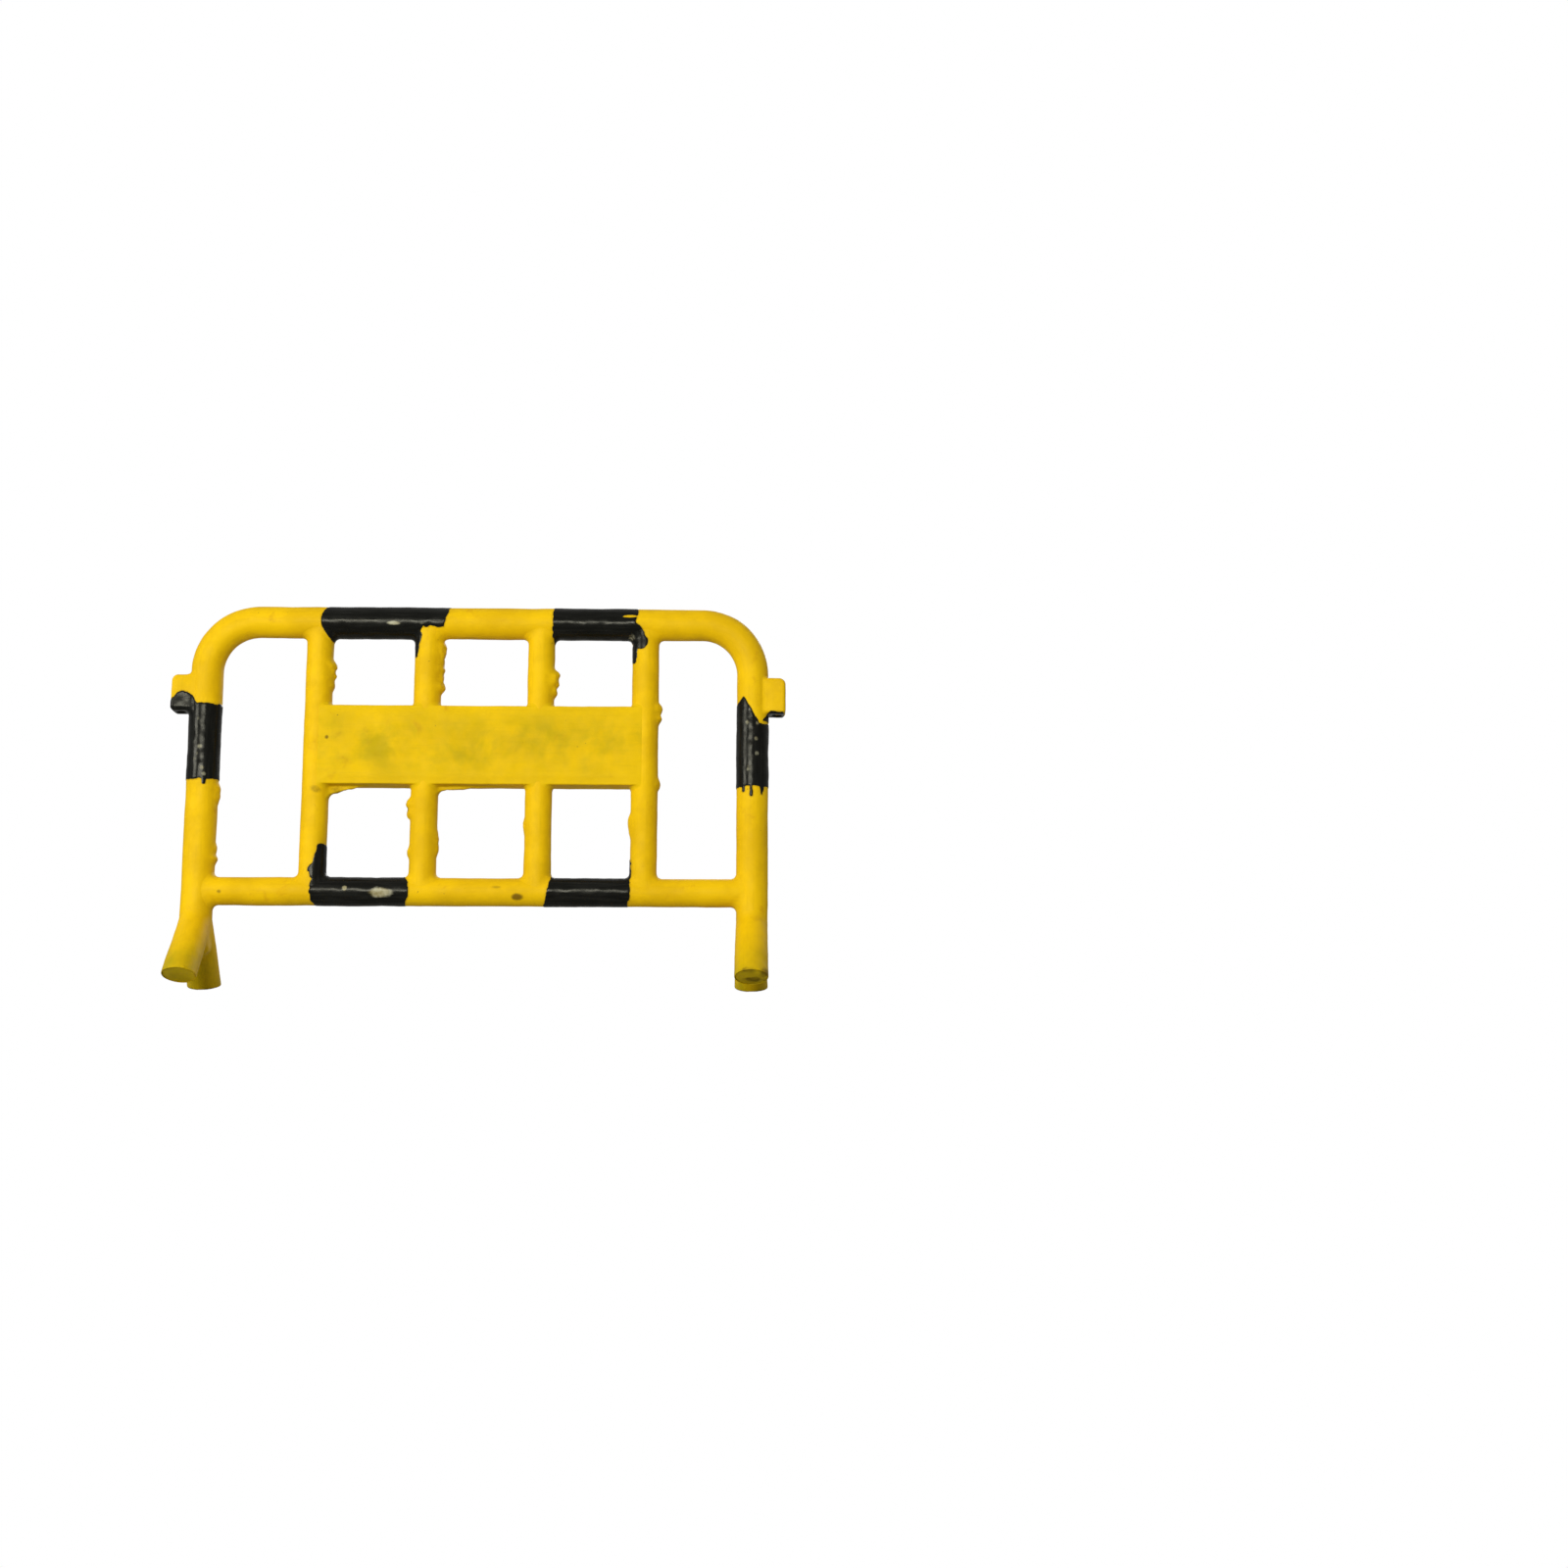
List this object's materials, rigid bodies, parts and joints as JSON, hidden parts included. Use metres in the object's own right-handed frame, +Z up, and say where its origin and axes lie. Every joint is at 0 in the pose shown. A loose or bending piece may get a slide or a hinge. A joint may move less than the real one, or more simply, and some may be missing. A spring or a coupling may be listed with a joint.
{
  "type": "crowd control barrier",
  "caption": "Free-standing welded steel tube barrier: bent hoop frame, bottom rail, uprights, solid sign panel, splayed legs and a coupling lug each side.",
  "frame": {"origin": "on the ground, midway between the two posts and on their centre plane", "axes": "+X along the barrier from the left post to the right as seen from the front, +Y to the rear, +Z up"},
  "size_m": [1.5986, 0.3448, 1],
  "materials": {
    "frame_paint": "worn brushed enamel with black bands",
    "panel_paint": "worn brushed enamel, grimy",
    "leg_paint": "worn brushed enamel, dirty",
    "leg_cap_paint": "scuffed enamel with ground dirt",
    "lug_paint": "worn brushed enamel",
    "weld_paint": "enamel over a weld bead"
  },
  "bodies": {
    "root": {"hoop_tube": "frame_paint", "bottom_rail": "frame_paint", "upright_1": "frame_paint", "upright_2": "frame_paint", "upright_3": "frame_paint", "upright_4": "frame_paint", "panel_front_sheet": "panel_paint", "panel_rear_sheet": "panel_paint", "panel_lower_strip_1": "panel_paint", "panel_lower_strip_2": "panel_paint", "panel_lower_strip_3": "panel_paint", "panel_upper_strip_1": "panel_paint", "panel_upper_strip_2": "panel_paint", "panel_upper_strip_3": "panel_paint", "leg_left_front": "leg_paint", "leg_left_rear": "leg_paint", "leg_right_front": "leg_paint", "leg_right_rear": "leg_paint", "leg_cap_left_front": "leg_cap_paint", "leg_cap_left_rear": "leg_cap_paint", "leg_cap_right_front": "leg_cap_paint", "leg_cap_right_rear": "leg_cap_paint", "coupling_lug_left": "lug_paint", "coupling_lug_right": "lug_paint", "weld_upright_1_top": "weld_paint", "weld_upright_2_top": "weld_paint", "weld_upright_3_top": "weld_paint", "weld_upright_4_top": "weld_paint", "weld_upright_1_bottom": "weld_paint", "weld_upright_2_bottom": "weld_paint", "weld_upright_3_bottom": "weld_paint", "weld_upright_4_bottom": "weld_paint", "weld_rail_left": "weld_paint", "weld_rail_right": "weld_paint"}
  },
  "joints": []
}
